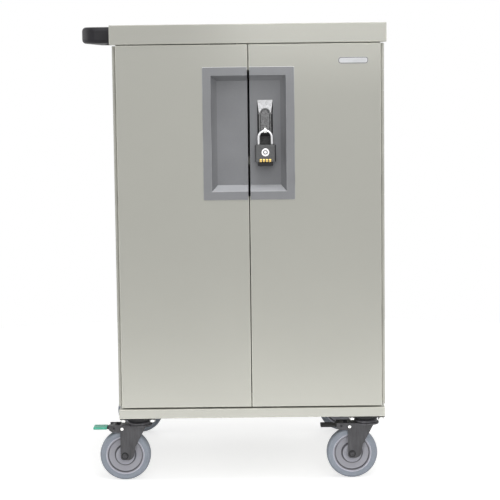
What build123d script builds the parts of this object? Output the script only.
from build123d import *
import os
from math import cos, radians, sin, sqrt

# Device charging cart: a folded-steel cabinet with two front doors, a rear door and slotted shelves,
# standing on four swivel casters. Millimetres, +Z up, front doors facing -Y, floor at Z = 0.
# Sizes are set out from the cabinet's middle plane, X = 0. Every piece moves sideways once, on export,
# so that the origin lies under the middle of the overall box, push handle included.

# Cabinet shell
CABINET_WIDTH = 660.0
CABINET_DEPTH = 669.0
CABINET_HEIGHT = 970.0
SHEET = 1.5
BEND_RADIUS = 2.0
BASE_HEIGHT = 23.5
BASE_FLOOR = 2.0
BASE_LIP = 62.0
CAP_HEIGHT = 47.0
CAP_OVERHANG_SIDE = 6.5
CAP_OVERHANG_FRONT = 2.0
CAP_CLEARANCE = 1.0
SIDE_FLANGE = 25.0
RAIL_DEPTH = 40.0
CUT_OVERSHOOT = 1.0

# Doors and their continuous hinges
DOOR_GAP = 2.0
DOOR_FOOT_GAP = 4.2
DOOR_DEPTH = 18.0
DOOR_LIP = 14.0
DOOR_HINGE_LIP = 22.0
DOOR_EDGE_CLEARANCE = 1.0
KNUCKLE_RADIUS = 4.0
KNUCKLE_LENGTH = 50.8
KNUCKLE_GAP = 0.4
KNUCKLE_OVERHANG = 1.4
HINGE_END_MARGIN = 1.0
HINGE_PIN_RADIUS = 2.0
HINGE_PIN_CLEARANCE = 0.06
LEAF_THICKNESS = 1.5
LEAF_GAP = 0.5
LEAF_WIDTH = 24.0

# Pull pocket let into the two front doors
POCKET_WIDTH = 224.0
POCKET_HEIGHT = 324.0
POCKET_DROP = 54.5
POCKET_RIM = 21.0
POCKET_RIM_PROUD = 1.5
POCKET_RIM_CHAMFER = 0.9
POCKET_CORNER = 3.0
POCKET_RIM_OVERLAP = 8.0
POCKET_DEPTH = 38.0
POCKET_DRAFT = 13.0
POCKET_WALL = 2.5
POCKET_GAP = 5.4

# Latch: raised housing, lift lever, rocker and two locking rods
LATCH_X = 40.2
LATCH_DROP = 81.5
HOUSING_WALL = 2.8
HOUSING_HEIGHT = 150.0
HOUSING_RISE = 12.0
HOUSING_TOP_BEVEL = 30.0
HOUSING_SIDE_BEVEL = 4.0
HOUSING_FLOOR = 2.5
LEVER_WIDTH = 23.4
LEVER_LENGTH = 67.0
LEVER_THICKNESS = 10.0
LEVER_CLEARANCE = 0.5
LEVER_EDGE = 2.5
LEVER_PIVOT_DROP = 32.0
LEVER_PIVOT_RISE = 8.5
LEVER_LIFT = 45.0
LEVER_PIN_RADIUS = 2.0
LEVER_PIN_CLEARANCE = 0.06
TAIL_TIP_RADIUS = 4.0
TAIL_BAR = 5.0
TAIL_WIDTH = 8.0
LUG_THICKNESS = 6.0
LUG_RADIUS = 8.0
LUG_HOLE_RADIUS = 4.5
LUG_DROP = 41.5
ROD_RADIUS = 4.0
ROD_TIP_CLEARANCE = 1.3
ROD_TIP_CHAMFER = 1.0
ROD_HOLE_CLEARANCE = 0.3
ROD_ROCKER_GAP = 1.1
YOKE_WIDTH = 20.0
YOKE_HEIGHT = 26.0
YOKE_PLAY = 0.9
ROCKER_DROP = 37.5
ROCKER_THICKNESS = 3.0
ROCKER_CLEARANCE = 0.4
ROCKER_HEIGHT = 15.0
ROCKER_PIN_RADIUS = 2.5
ROCKER_STUD_RADIUS = 3.0
ROCKER_STUD_CLEARANCE = 0.06
ROCKER_STUD_HEAD = 2.0
ROCKER_SLOT_PLAY = 0.8
GUIDE_INSET = 34.0
GUIDE_THICKNESS = 3.0
GUIDE_FOOT = 22.0
STRIKE_WIDTH = 42.0
STRIKE_HOLE_CLEARANCE = 1.2

# Combination padlock hung on the lever's eye
SHACKLE_RADIUS = 3.15
SHACKLE_SPREAD = 32.6
SHACKLE_SLACK = 0.75
SHACKLE_RISE = 34.8
SHACKLE_HEEL = 23.0
SHACKLE_TOE = 8.0
SHACKLE_BORE_CLEARANCE = 0.2
SHACKLE_TRAVEL = 9.0
PADLOCK_WIDTH = 51.0
PADLOCK_HEIGHT = 41.0
PADLOCK_THICKNESS = 22.0
PADLOCK_CORNER = 5.0
PADLOCK_HOUSING_GAP = 1.0
PADLOCK_EDGE = 1.5
BUMPER_WIDTH = 35.5
BUMPER_HEIGHT = 10.5
BUMPER_THICKNESS = 18.0
DIAL_COUNT = 4
DIAL_FACES = 10
DIAL_RADIUS = 6.5
DIAL_WIDTH = 5.2
DIAL_PITCH = 7.5
DIAL_RISE = 4.0
DIAL_PROUD = 0.3
DIAL_CLEARANCE = 0.4
DIAL_SIDE_CLEARANCE = 0.2
DIAL_PIN_RADIUS = 1.5
DIAL_PIN_CLEARANCE = 0.08
DIAL_WINDOW = 6.5

# Door catches, rear door louvres and rear lock
CATCH_X = -60.0
CATCH_WIDTH = 46.0
CATCH_DEPTH = 20.0
CATCH_HEIGHT = 14.0
CATCH_EAR = 9.0
CATCH_GAP = 0.3
LOUVRE_LENGTH = 150.0
LOUVRE_SLOT = 5.0
LOUVRE_HOOD = 11.0
LOUVRE_PROUD = 1.6
LOUVRE_PITCH = 24.0
LOUVRE_ROWS = 6
LOUVRE_COLUMN_X = 130.0
LOUVRE_BANK_INSET = 80.0
LOCK_FLANGE_GAP = 2.0
LOCK_RADIUS = 9.0
LOCK_CLEARANCE = 0.08
LOCK_PROUD = 1.5
LOCK_FACE_RADIUS = 12.0
LOCK_FACE_GAP = 0.3
LOCK_CAM_LENGTH = 27.0
LOCK_CAM_WIDTH = 12.0
LOCK_CAM_THICKNESS = 3.0
LOCK_CAM_CLEARANCE = 2.5
KEYWAY_WIDTH = 2.0

# Shelves, dividers, partition and power
SHELF_LEVELS = 3
SHELF_LIP = 20.0
SHELF_SETBACK = 48.0
POWER_BAY_DEPTH = 171.5
BAYS_PER_SHELF = 8
DIVIDER_THICKNESS = 3.0
DIVIDER_HEIGHT = 185.0
DIVIDER_SETBACK = 20.0
DIVIDER_NOSE_RADIUS = 90.0
DIVIDER_TAB_LENGTH = 24.0
DIVIDER_TAB_DROP = 9.0
DIVIDER_TAB_INSET = 60.0
DIVIDER_CLEARANCE = 0.3
CABLE_SLOT_HEIGHT = 45.0
CABLE_SLOT_DROP = 16.0
CABLE_SLOT_INSET = 48.0
STRIP_HEIGHT = 56.0
STRIP_DEPTH = 38.0
STRIP_INSET = 34.0
STRIP_DROP = 12.0
STRIP_EDGE = 4.0
OUTLET_WIDTH = 28.0
OUTLET_HEIGHT = 36.0
OUTLET_CORNER = 8.0
OUTLET_DEPTH = 2.0
INLET_REAR_INSET = 78.0
INLET_RISE = 78.0
INLET_FLANGE_WIDTH = 36.0
INLET_FLANGE_HEIGHT = 66.0
INLET_FLANGE_THICKNESS = 2.5
INLET_CORNER = 4.0
INLET_BODY_WIDTH = 28.0
INLET_BODY_HEIGHT = 52.0
INLET_BODY_DEPTH = 28.0
INLET_PANEL_CLEARANCE = 0.5
INLET_PLATE_WIDTH = 110.0
INLET_PLATE_HEIGHT = 130.0
SOCKET_WIDTH = 23.0
SOCKET_HEIGHT = 16.0
SOCKET_DEPTH = 20.0
SOCKET_CHAMFER = 5.0
SOCKET_DROP = 13.0
BLADE_WIDTH = 4.0
BLADE_THICKNESS = 2.0
BLADE_LENGTH = 13.0
BLADE_PITCH = 7.0
ROCKER_SWITCH_WIDTH = 13.0
ROCKER_SWITCH_HEIGHT = 20.0
ROCKER_SWITCH_DEPTH = 9.0
ROCKER_SWITCH_RISE = 13.0
ROCKER_SWITCH_TILT = 8.0
ROCKER_SWITCH_CLEARANCE = 0.6
ROCKER_SWITCH_PIN_RADIUS = 1.2
ROCKER_SWITCH_PIN_REACH = 4.0
ROCKER_SWITCH_PIN_CLEARANCE = 0.06

# Push handle on the left side of the cap
HANDLE_REACH = 76.5
HANDLE_SPAN = 500.0
HANDLE_HEIGHT = 40.5
HANDLE_RISE = 1.3
HANDLE_GRIP = 27.0
HANDLE_ARM = 34.0
HANDLE_OUTER_BEND = 38.0
HANDLE_INNER_BEND = 14.0
HANDLE_EDGE = 10.0
HANDLE_BOLT_RADIUS = 4.0
HANDLE_BOLT_DEPTH = 22.0
HANDLE_BOLT_PITCH = 20.0
HANDLE_BOLT_HEAD_RADIUS = 7.0
HANDLE_BOLT_HEAD = 5.0
BOLT_CLEARANCE = 0.2

# Casters
CASTER_INSET_X = 45.0
CASTER_INSET_Y = 56.5
CASTER_TRAIL = 35.0
PLATE_LENGTH = 90.0
PLATE_WIDTH = 105.0
PLATE_THICKNESS = 3.5
PLATE_CORNER = 8.0
PLATE_BOLT_X = 72.0
PLATE_BOLT_Y = 80.0
PLATE_BOLT_RADIUS = 4.0
PLATE_BOLT_FLATS = 13.0
PLATE_BOLT_HEAD = 7.0
PLATE_BOLT_NUT = 6.5
RACE_RADIUS = 32.0
RACE_HEIGHT = 12.0
SEAT_RADIUS = 29.0
SEAT_HEIGHT = 7.7
SWIVEL_GAP = 0.3
KINGPIN_RADIUS = 6.0
KINGPIN_CLEARANCE = 0.08
KINGPIN_HEAD_RADIUS = 10.0
KINGPIN_HEAD = 5.0
CROWN_THICKNESS = 4.0
CROWN_RADIUS = 33.0
LEG_THICKNESS = 4.0
LEG_FRONT = 11.0
LEG_FOOT_DROP = 11.0
LEG_TOE_ROUND = 8.0
LEG_HEEL = 23.0
LEG_HEEL_RISE = 8.0
LEG_HEEL_ROUND = 16.0
LEG_BEND = 27.0
LEG_BEND_RISE = 24.0
LEG_TOP = 55.0
LEG_HOLE_RADIUS = 4.15
LEG_HOLE_OFFSET = 6.5
LEG_HOLE_DROP = 9.0
TIE_HEAD = 1.2
BRAKE_ARM_REACH = 39.0
BRAKE_ARM_DEPTH = 18.0
WHEEL_RADIUS = 63.5
WHEEL_WIDTH = 32.0
WHEEL_FORK_CLEARANCE = 3.5
WHEEL_TOP_CLEARANCE = 10.0
TREAD_ROUND = 7.0
TYRE_BORE = 45.5
TYRE_SHOULDER = 1.5
RIM_LIP = 3.0
RIM_INSET = 1.0
WEB_INSET = 6.0
WEB_DISH = 2.0
HUB_RADIUS = 24.5
HUB_FLARE = 3.0
HUB_PROUD = 1.0
AXLE_RADIUS = 5.0
AXLE_SLEEVE_RADIUS = 8.0
AXLE_CLEARANCE = 0.08
AXLE_HEAD_RADIUS = 6.0
AXLE_HEAD = 4.0
AXLE_WASHER_RADIUS = 9.0
AXLE_WASHER = 1.6
AXLE_NUT_FLATS = 17.0
AXLE_NUT = 8.0
PEDAL_PIVOT_OUT = 27.0
PEDAL_PIVOT_DROP = 7.0
PEDAL_PIN_RADIUS = 3.0
PEDAL_PIN_CLEARANCE = 0.08
PEDAL_WIDTH = 33.0
PEDAL_HUB_RADIUS = 7.0
PEDAL_SHOE_GAP = 0.6
PEDAL_SHOE_RADIUS = 3.0
PEDAL_SWING = 15.0
PEDAL_TONGUE_DROP = 1.2
PEDAL_TONGUE_THICKNESS = 3.0
PEDAL_TONGUE_REACH = 36.0
PAD_START = 18.0
PAD_REACH = 52.0
PAD_THICKNESS = 6.0
PAD_WIDTH = 36.0
PAD_EDGE = 1.4
PAD_RIBS = 4
PAD_RIB_DEPTH = 0.8
PAD_RIB_WIDTH = 2.4

# Heights and planes that follow from the sizes above
CROWN_Z = 2 * WHEEL_RADIUS + WHEEL_TOP_CLEARANCE
CROWN_TOP_Z = CROWN_Z + CROWN_THICKNESS
RACE_BOTTOM_Z = CROWN_TOP_Z + SEAT_HEIGHT + SWIVEL_GAP
CASTER_HEIGHT = RACE_BOTTOM_Z + RACE_HEIGHT + PLATE_THICKNESS
BASE_Z = CASTER_HEIGHT
DECK_Z = BASE_Z + BASE_HEIGHT
TOP_Z = BASE_Z + CABINET_HEIGHT
CAP_Z = TOP_Z - CAP_HEIGHT
DOOR_SPAN_Z = (DECK_Z + DOOR_FOOT_GAP, CAP_Z - DOOR_GAP)
FACE_Y = -CABINET_DEPTH / 2
DOOR_BACK_Y = FACE_Y + DOOR_DEPTH
BODY_FRONT_Y = DOOR_BACK_Y + 2 * LEAF_THICKNESS + LEAF_GAP
HINGE_X = CABINET_WIDTH / 2 + KNUCKLE_OVERHANG - KNUCKLE_RADIUS
HINGE_Y = DOOR_BACK_Y + LEAF_THICKNESS + LEAF_GAP / 2
DOOR_EDGE_X = HINGE_X - KNUCKLE_RADIUS - DOOR_EDGE_CLEARANCE
SIDE_X = DOOR_EDGE_X
SIDE_INNER_X = SIDE_X - SHEET
RAIL_Z = CAP_Z + SHEET
SHELF_FRONT_Y = BODY_FRONT_Y + SHELF_SETBACK
PARTITION_Y = -BODY_FRONT_Y - POWER_BAY_DEPTH - SHEET
BAY_FLOOR_Z = DECK_Z + SHEET
BAY_PITCH_Z = (RAIL_Z - BAY_FLOOR_Z) / SHELF_LEVELS
BAY_HALF_X = SIDE_X - SIDE_FLANGE
BAY_PITCH_X = 2 * BAY_HALF_X / BAYS_PER_SHELF
POCKET_TOP_Z = DOOR_SPAN_Z[1] - POCKET_DROP
POCKET_MID_Z = POCKET_TOP_Z - POCKET_HEIGHT / 2
POCKET_FLOOR_Y = FACE_Y + POCKET_DEPTH
POCKET_BACK_Y = POCKET_FLOOR_Y + POCKET_WALL
HOUSING_TOP_Z = POCKET_TOP_Z - LATCH_DROP
HOUSING_WIDTH = LEVER_WIDTH + 2 * (LEVER_CLEARANCE + HOUSING_WALL + HOUSING_SIDE_BEVEL)
LEVER_PIVOT_Y = POCKET_FLOOR_Y - LEVER_PIVOT_RISE
LEVER_PIVOT_Z = HOUSING_TOP_Z - LEVER_PIVOT_DROP
LEVER_BACK_Y = POCKET_FLOOR_Y - HOUSING_FLOOR - LEVER_CLEARANCE
LEVER_FRONT_Y = LEVER_BACK_Y - LEVER_THICKNESS
LUG_Y = POCKET_FLOOR_Y - HOUSING_RISE - PADLOCK_HOUSING_GAP - PADLOCK_THICKNESS / 2
LUG_Z = LEVER_PIVOT_Z - LUG_DROP
ROD_Y = POCKET_BACK_Y + ROCKER_CLEARANCE + ROCKER_THICKNESS + ROD_ROCKER_GAP + ROD_RADIUS
TAIL_RADIUS = ROD_Y - LEVER_PIVOT_Y
ROD_STROKE = TAIL_RADIUS * sin(radians(LEVER_LIFT))
ROCKER_X = LATCH_X + TAIL_RADIUS
ROCKER_Z = LEVER_PIVOT_Z - ROCKER_DROP
LOWER_ROD_X = ROCKER_X + TAIL_RADIUS
UPPER_ROD_TIP_Z = CAP_Z - ROD_TIP_CLEARANCE
LOWER_ROD_TIP_Z = BAY_FLOOR_Z + ROD_TIP_CLEARANCE
SHACKLE_Z = LUG_Z - SHACKLE_SLACK
PADLOCK_TOP_Z = SHACKLE_Z - SHACKLE_RISE
PADLOCK_BOTTOM_Z = PADLOCK_TOP_Z - PADLOCK_HEIGHT
DIAL_Y = LUG_Y - PADLOCK_THICKNESS / 2 + DIAL_RADIUS - DIAL_PROUD
DIAL_Z = PADLOCK_BOTTOM_Z + DIAL_RISE
CASTER_X = CABINET_WIDTH / 2 - CASTER_INSET_X
CASTER_Y = CABINET_DEPTH / 2 - CASTER_INSET_Y
LEG_Y = WHEEL_WIDTH / 2 + WHEEL_FORK_CLEARANCE
PEDAL_PIVOT_X = -CASTER_TRAIL - PEDAL_PIVOT_OUT
PEDAL_PIVOT_Z = CROWN_TOP_Z - PEDAL_PIVOT_DROP
HANDLE_Z = (CAP_Z + TOP_Z) / 2 + HANDLE_RISE
CENTRE_SHIFT = HANDLE_REACH / 2


def block(x, y, z):
    """Box that fills three (low, high) spans."""
    middle = Pos((x[0] + x[1]) / 2, (y[0] + y[1]) / 2, (z[0] + z[1]) / 2)
    return middle * Box(x[1] - x[0], y[1] - y[0], z[1] - z[0])


def span(middle, length):
    """(low, high) span of a length about its middle."""
    return (middle - length / 2, middle + length / 2)


def between(first, second):
    """(low, high) span between two positions given in either order."""
    return (min(first, second), max(first, second))


def inset(limits, amount):
    """The same span drawn in at both ends."""
    return (limits[0] + amount, limits[1] - amount)


def rod_x(x, y, z, radius):
    """Round bar along X that fills the span x."""
    return Pos((x[0] + x[1]) / 2, y, z) * Rot(0, 90, 0) * Cylinder(radius, x[1] - x[0])


def rod_y(x, y, z, radius):
    """Round bar along Y that fills the span y."""
    return Pos(x, (y[0] + y[1]) / 2, z) * Rot(90, 0, 0) * Cylinder(radius, y[1] - y[0])


def rod_z(x, y, z, radius):
    """Round bar along Z that fills the span z."""
    return Pos(x, y, (z[0] + z[1]) / 2) * Cylinder(radius, z[1] - z[0])


def hexagon(flats):
    """Hexagon sketch across flats, with two flats square to X."""
    return Rot(0, 0, 30) * RegularPolygon(flats / sqrt(3), 6)


def folded_pan(x, y, z, mouth, bends=None):
    """Closed folded-sheet box with one side opened by a mouth that leaves the return lips."""
    outer = block(x, y, z)
    if bends:
        outer = fillet(bends(outer), BEND_RADIUS)
    return outer - block(inset(x, SHEET), inset(y, SHEET), inset(z, SHEET)) - block(*mouth)


def all_edges(solid):
    """Every fold of a pan."""
    return solid.edges()


def copies(piece, places):
    """Group of separate copies of one piece."""
    return Compound(children=[place * piece for place in places])


# Cabinet shell


def bolt_places():
    """Plate bolt centres about one caster's swivel axis."""
    return [(sx * PLATE_BOLT_X / 2, sy * PLATE_BOLT_Y / 2) for sx in (-1, 1) for sy in (-1, 1)]


def caster_places():
    """Swivel axis of each caster, by its place on the cart."""
    return {
        "front_left": (-CASTER_X, -CASTER_Y),
        "front_right": (CASTER_X, -CASTER_Y),
        "rear_left": (-CASTER_X, CASTER_Y),
        "rear_right": (CASTER_X, CASTER_Y),
    }


def base_pan():
    """Upward-open floor pan with wide top lips and the caster bolt holes."""
    x = span(0, CABINET_WIDTH)
    y = span(0, CABINET_DEPTH)
    outer = fillet(block(x, y, (BASE_Z, DECK_Z)).edges(), BEND_RADIUS)
    hollow = block(inset(x, SHEET), inset(y, SHEET), (BASE_Z + BASE_FLOOR, DECK_Z - SHEET))
    mouth = block(inset(x, BASE_LIP), inset(y, BASE_LIP), (DECK_Z - 2 * SHEET, DECK_Z + SHEET))
    pan = outer - hollow - mouth
    hole = PLATE_BOLT_RADIUS + BOLT_CLEARANCE
    floor_z = inset((BASE_Z, BASE_Z + BASE_FLOOR), -CUT_OVERSHOOT)
    for caster_x, caster_y in caster_places().values():
        for dx, dy in bolt_places():
            pan -= rod_z(caster_x + dx, caster_y + dy, floor_z, hole)
    pan -= rod_z(LOWER_ROD_X, ROD_Y, (DECK_Z - 2 * SHEET, DECK_Z + SHEET), strike_hole())
    return pan


def strike_hole():
    """Radius of the holes that the locking rods shoot into."""
    return ROD_RADIUS + STRIKE_HOLE_CLEARANCE


def rear_jamb(side):
    """Flat strip welded inside a side wall's rear edge, which the rear door closes on."""
    x = between(side * (SIDE_X - SIDE_FLANGE), side * SIDE_INNER_X)
    return block(x, (-BODY_FRONT_Y - SHEET, -BODY_FRONT_Y), inset((DECK_Z, TOP_Z - SHEET), SHEET))


def side_wall(side):
    """Side wall with returns folded inwards along its front, top and bottom."""
    x = between(side * SIDE_X, side * (SIDE_X - SIDE_FLANGE))
    y = (BODY_FRONT_Y, -BODY_FRONT_Y)
    z = (DECK_Z, TOP_Z - SHEET)
    edge_x = SIDE_X - SIDE_FLANGE
    mouth_x = between(side * (edge_x - SHEET), side * (edge_x + 2 * SHEET))
    return folded_pan(x, y, z, (mouth_x, inset(y, SHEET), inset(z, SHEET))) - rear_jamb(side)


def left_side_panel():
    """Left side wall with its rear jamb."""
    return Compound(children=[side_wall(-1), rear_jamb(-1)])


def right_side_panel():
    """Right side wall with its rear jamb, and a let-in plate that carries the power inlet."""
    y, z = inlet_centre()
    x = (SIDE_INNER_X, SIDE_X)
    plate = block(x, span(y, INLET_PLATE_WIDTH), span(z, INLET_PLATE_HEIGHT))
    cut_y = span(y, INLET_BODY_WIDTH + 2 * INLET_PANEL_CLEARANCE)
    cut_z = span(z, INLET_BODY_HEIGHT + 2 * INLET_PANEL_CLEARANCE)
    return Compound(children=[side_wall(1) - plate, plate - block(x, cut_y, cut_z), rear_jamb(1)])


def top_cap():
    """Lid that drops over the cabinet, with its skirt returned inwards below."""
    x = span(0, CABINET_WIDTH + 2 * CAP_OVERHANG_SIDE)
    y = span(0, CABINET_DEPTH + 2 * CAP_OVERHANG_FRONT)
    mouth_x = span(0, 2 * (SIDE_X + CAP_CLEARANCE))
    mouth_y = span(0, -2 * BODY_FRONT_Y + 2 * CAP_CLEARANCE)
    mouth_z = (CAP_Z - SHEET, CAP_Z + 2 * SHEET)
    cap = folded_pan(x, y, (CAP_Z, TOP_Z), (mouth_x, mouth_y, mouth_z), all_edges)
    hole = HANDLE_BOLT_RADIUS + BOLT_CLEARANCE
    for bolt_y, bolt_z in handle_bolt_places():
        cap -= rod_x((x[0] - SHEET, x[0] + 2 * SHEET), bolt_y, bolt_z, hole)
    return cap


def header_rails():
    """Channels under the cap that tie the two sides together, front and rear."""
    x = span(0, 2 * SIDE_INNER_X)
    y = (BODY_FRONT_Y + SHEET, BODY_FRONT_Y + SHEET + RAIL_DEPTH)
    z = (RAIL_Z, TOP_Z - 2 * SHEET)
    mouth = (inset(x, SHEET), (y[1] - 2 * SHEET, y[1] + SHEET), inset(z, SHEET))
    rail = folded_pan(x, y, z, mouth)
    rear = mirror(rail, about=Plane.XZ)
    front = rail - rod_z(LATCH_X, ROD_Y, (RAIL_Z - SHEET, RAIL_Z + 2 * SHEET), strike_hole())
    return Compound(children=[front, rear])


# Push handle


def handle_bolt_places():
    """(y, z) of the screws that hold the two handle arms to the cap's skirt."""
    arm = (HANDLE_SPAN - HANDLE_ARM) / 2
    return [(sy * arm, HANDLE_Z + sz * HANDLE_BOLT_PITCH / 2) for sy in (-1, 1) for sz in (-1, 1)]


def push_handle():
    """U-shaped moulded handle whose arms butt against the cap's left side."""
    root_x = -CABINET_WIDTH / 2 - CAP_OVERHANG_SIDE
    outer = Rectangle(HANDLE_REACH, HANDLE_SPAN, align=(Align.MAX, Align.CENTER))
    outer = fillet(outer.vertices().group_by(Axis.X)[0], HANDLE_OUTER_BEND)
    gap_span = HANDLE_SPAN - 2 * HANDLE_ARM
    gap = Rectangle(HANDLE_REACH - HANDLE_GRIP, gap_span, align=(Align.MAX, Align.CENTER))
    gap = fillet(gap.vertices().group_by(Axis.X)[0], HANDLE_INNER_BEND)
    bow = extrude(outer - gap, HANDLE_HEIGHT)
    ends = bow.faces().group_by(Axis.X)[-1].edges()
    rims = bow.edges().filter_by(Axis.Z, reverse=True) - ends
    bow = fillet(rims, HANDLE_EDGE)
    bolt_x = inset((root_x - HANDLE_BOLT_DEPTH, root_x), -CUT_OVERSHOOT)
    handle = Pos(root_x, 0, HANDLE_Z - HANDLE_HEIGHT / 2) * bow
    hole = HANDLE_BOLT_RADIUS + BOLT_CLEARANCE
    for bolt_y, bolt_z in handle_bolt_places():
        handle -= rod_x(bolt_x, bolt_y, bolt_z, hole)
    return handle


def handle_bolts():
    """Screws that pass from inside the cap's skirt into the handle arms."""
    seat_x = -CABINET_WIDTH / 2 - CAP_OVERHANG_SIDE + SHEET
    shank = rod_x((seat_x - SHEET - HANDLE_BOLT_DEPTH, seat_x), 0, 0, HANDLE_BOLT_RADIUS)
    head = rod_x((seat_x, seat_x + HANDLE_BOLT_HEAD), 0, 0, HANDLE_BOLT_HEAD_RADIUS)
    head = chamfer(head.edges().group_by(Axis.X)[-1], HANDLE_BOLT_HEAD / 2)
    return copies(shank + head, [Pos(0, y, z) for y, z in handle_bolt_places()])


# Continuous hinges


def knuckle_count():
    """Odd number of knuckles, so that the frame leaf has one at each end."""
    low, high = hinge_span()
    return 2 * int((high - low - KNUCKLE_LENGTH) / (2 * KNUCKLE_LENGTH)) + 1


def hinge_span():
    """Height span of a hinge, nearly the whole height of its door."""
    return inset(DOOR_SPAN_Z, HINGE_END_MARGIN)


def knuckle_span(index):
    """Height span of one knuckle; the end ones take up what the even pitch leaves over."""
    low, high = hinge_span()
    first = (low + high - knuckle_count() * KNUCKLE_LENGTH) / 2
    bottom = low if index == 0 else first + index * KNUCKLE_LENGTH
    top = high if index == knuckle_count() - 1 else first + (index + 1) * KNUCKLE_LENGTH
    return inset((bottom, top), KNUCKLE_GAP / 2)


def hinge_leaf(axis_x, axis_y, towards, first):
    """One leaf of a continuous hinge: a plate on one side of the pin with every second knuckle."""
    inwards = -1 if axis_x > 0 else 1
    low, high = hinge_span()
    near_y = axis_y + towards * LEAF_GAP / 2
    y = between(near_y, near_y + towards * LEAF_THICKNESS)
    plate_x = axis_x + inwards * (KNUCKLE_RADIUS + KNUCKLE_GAP)
    tip_x = axis_x + inwards * LEAF_WIDTH
    root_x = axis_x + inwards * (HINGE_PIN_RADIUS + KNUCKLE_RADIUS) / 2
    leaf = block(between(plate_x, tip_x), y, (low, high))
    bore_z = inset((low, high), -CUT_OVERSHOOT)
    bore = rod_z(axis_x, axis_y, bore_z, HINGE_PIN_RADIUS + HINGE_PIN_CLEARANCE)
    for index in range(first, knuckle_count(), 2):
        z = knuckle_span(index)
        knuckle = rod_z(axis_x, axis_y, z, KNUCKLE_RADIUS) - bore
        leaf += knuckle + block(between(root_x, plate_x), y, z)
    return leaf


def hinge_axes():
    """(x, y, side of the pin where the door lies) for the front left, front right and rear hinges."""
    return [(-HINGE_X, HINGE_Y, -1), (HINGE_X, HINGE_Y, -1), (-HINGE_X, -HINGE_Y, 1)]


def hinge_frame_leaves():
    """The leaves fixed to the cabinet's front and rear flanges."""
    return Compound(children=[hinge_leaf(x, y, -door, 0) for x, y, door in hinge_axes()])


def hinge_pins():
    """One full-length pin through each hinge."""
    return Compound(children=[rod_z(x, y, hinge_span(), HINGE_PIN_RADIUS) for x, y, door in hinge_axes()])


# Front doors


def front_door(side):
    """Folded door pan with return lips, notched at its free edge for the pull pocket."""
    x = between(side * DOOR_GAP / 2, side * DOOR_EDGE_X)
    mouth_x = between(side * (DOOR_GAP / 2 + DOOR_LIP), side * (DOOR_EDGE_X - DOOR_HINGE_LIP))
    y = (FACE_Y, DOOR_BACK_Y)
    mouth = (mouth_x, (DOOR_BACK_Y - 2 * SHEET, DOOR_BACK_Y + SHEET), inset(DOOR_SPAN_Z, DOOR_LIP))
    door = folded_pan(x, y, DOOR_SPAN_Z, mouth, all_edges)
    notch_x = span(0, POCKET_WIDTH - 2 * POCKET_RIM_OVERLAP)
    notch_z = span(POCKET_MID_Z, POCKET_HEIGHT - 2 * POCKET_RIM_OVERLAP)
    return door - block(notch_x, (FACE_Y - SHEET, DOOR_BACK_Y + SHEET), notch_z)


def pocket_taper(offset_out, front_y, back_y):
    """Tapering well of the pull pocket, grown by an offset, between two planes."""
    width = POCKET_WIDTH - 2 * POCKET_RIM
    height = POCKET_HEIGHT - 2 * POCKET_RIM
    slope = POCKET_DRAFT / POCKET_DEPTH
    sections = []
    for plane_y in (front_y, back_y):
        draft = slope * (plane_y - FACE_Y) - offset_out
        outline = Rectangle(width - 2 * draft, height - 2 * draft)
        sections.append(Plane((0, plane_y, POCKET_MID_Z), (1, 0, 0), (0, -1, 0)) * outline)
    return loft(sections)


def pull_pocket(side):
    """Half of the moulded pull pocket: a flat rim on the door face and a drafted well behind it."""
    rim_plane = Plane((0, FACE_Y, POCKET_MID_Z), (1, 0, 0), (0, -1, 0))
    outline = RectangleRounded(POCKET_WIDTH, POCKET_HEIGHT, POCKET_CORNER)
    rim = extrude(rim_plane * outline, POCKET_RIM_PROUD)
    rim = chamfer(rim.faces().sort_by(Axis.Y)[0].outer_wire().edges(), POCKET_RIM_CHAMFER)
    shell = pocket_taper(POCKET_WALL, FACE_Y, POCKET_BACK_Y)
    well = pocket_taper(0, FACE_Y - 2 * POCKET_RIM_PROUD, POCKET_FLOOR_Y)
    keep_x = between(side * POCKET_GAP / 2, side * POCKET_WIDTH)
    keep = block(keep_x, (FACE_Y - POCKET_DEPTH, 0), span(POCKET_MID_Z, 2 * POCKET_HEIGHT))
    return (rim + shell - well) & keep


def lever_window_z():
    """Height span of the opening behind the lever's pivot, for its tail and its heel as it lifts."""
    heel = LEVER_WIDTH / 2 + LEVER_CLEARANCE
    return (LEVER_PIVOT_Z - ROD_STROKE - TAIL_TIP_RADIUS, LEVER_PIVOT_Z + heel)


def right_pull_pocket():
    """Right pocket half, with the latch window through its floor and the rocker's stud behind it."""
    pocket = pull_pocket(1)
    window_x = span(LATCH_X, LEVER_WIDTH + 2 * LEVER_CLEARANCE)
    floor_y = inset((POCKET_FLOOR_Y, POCKET_BACK_Y), -CUT_OVERSHOOT)
    pocket -= block(window_x, floor_y, lever_window_z())
    stud_end = POCKET_BACK_Y + ROCKER_CLEARANCE + ROCKER_THICKNESS + ROCKER_CLEARANCE
    pocket += rod_y(ROCKER_X, (POCKET_FLOOR_Y, stud_end), ROCKER_Z, ROCKER_STUD_RADIUS)
    head_y = (stud_end, stud_end + ROCKER_STUD_HEAD)
    return pocket + rod_y(ROCKER_X, head_y, ROCKER_Z, ROCKER_STUD_RADIUS + ROCKER_STUD_HEAD)


# Latch


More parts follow.
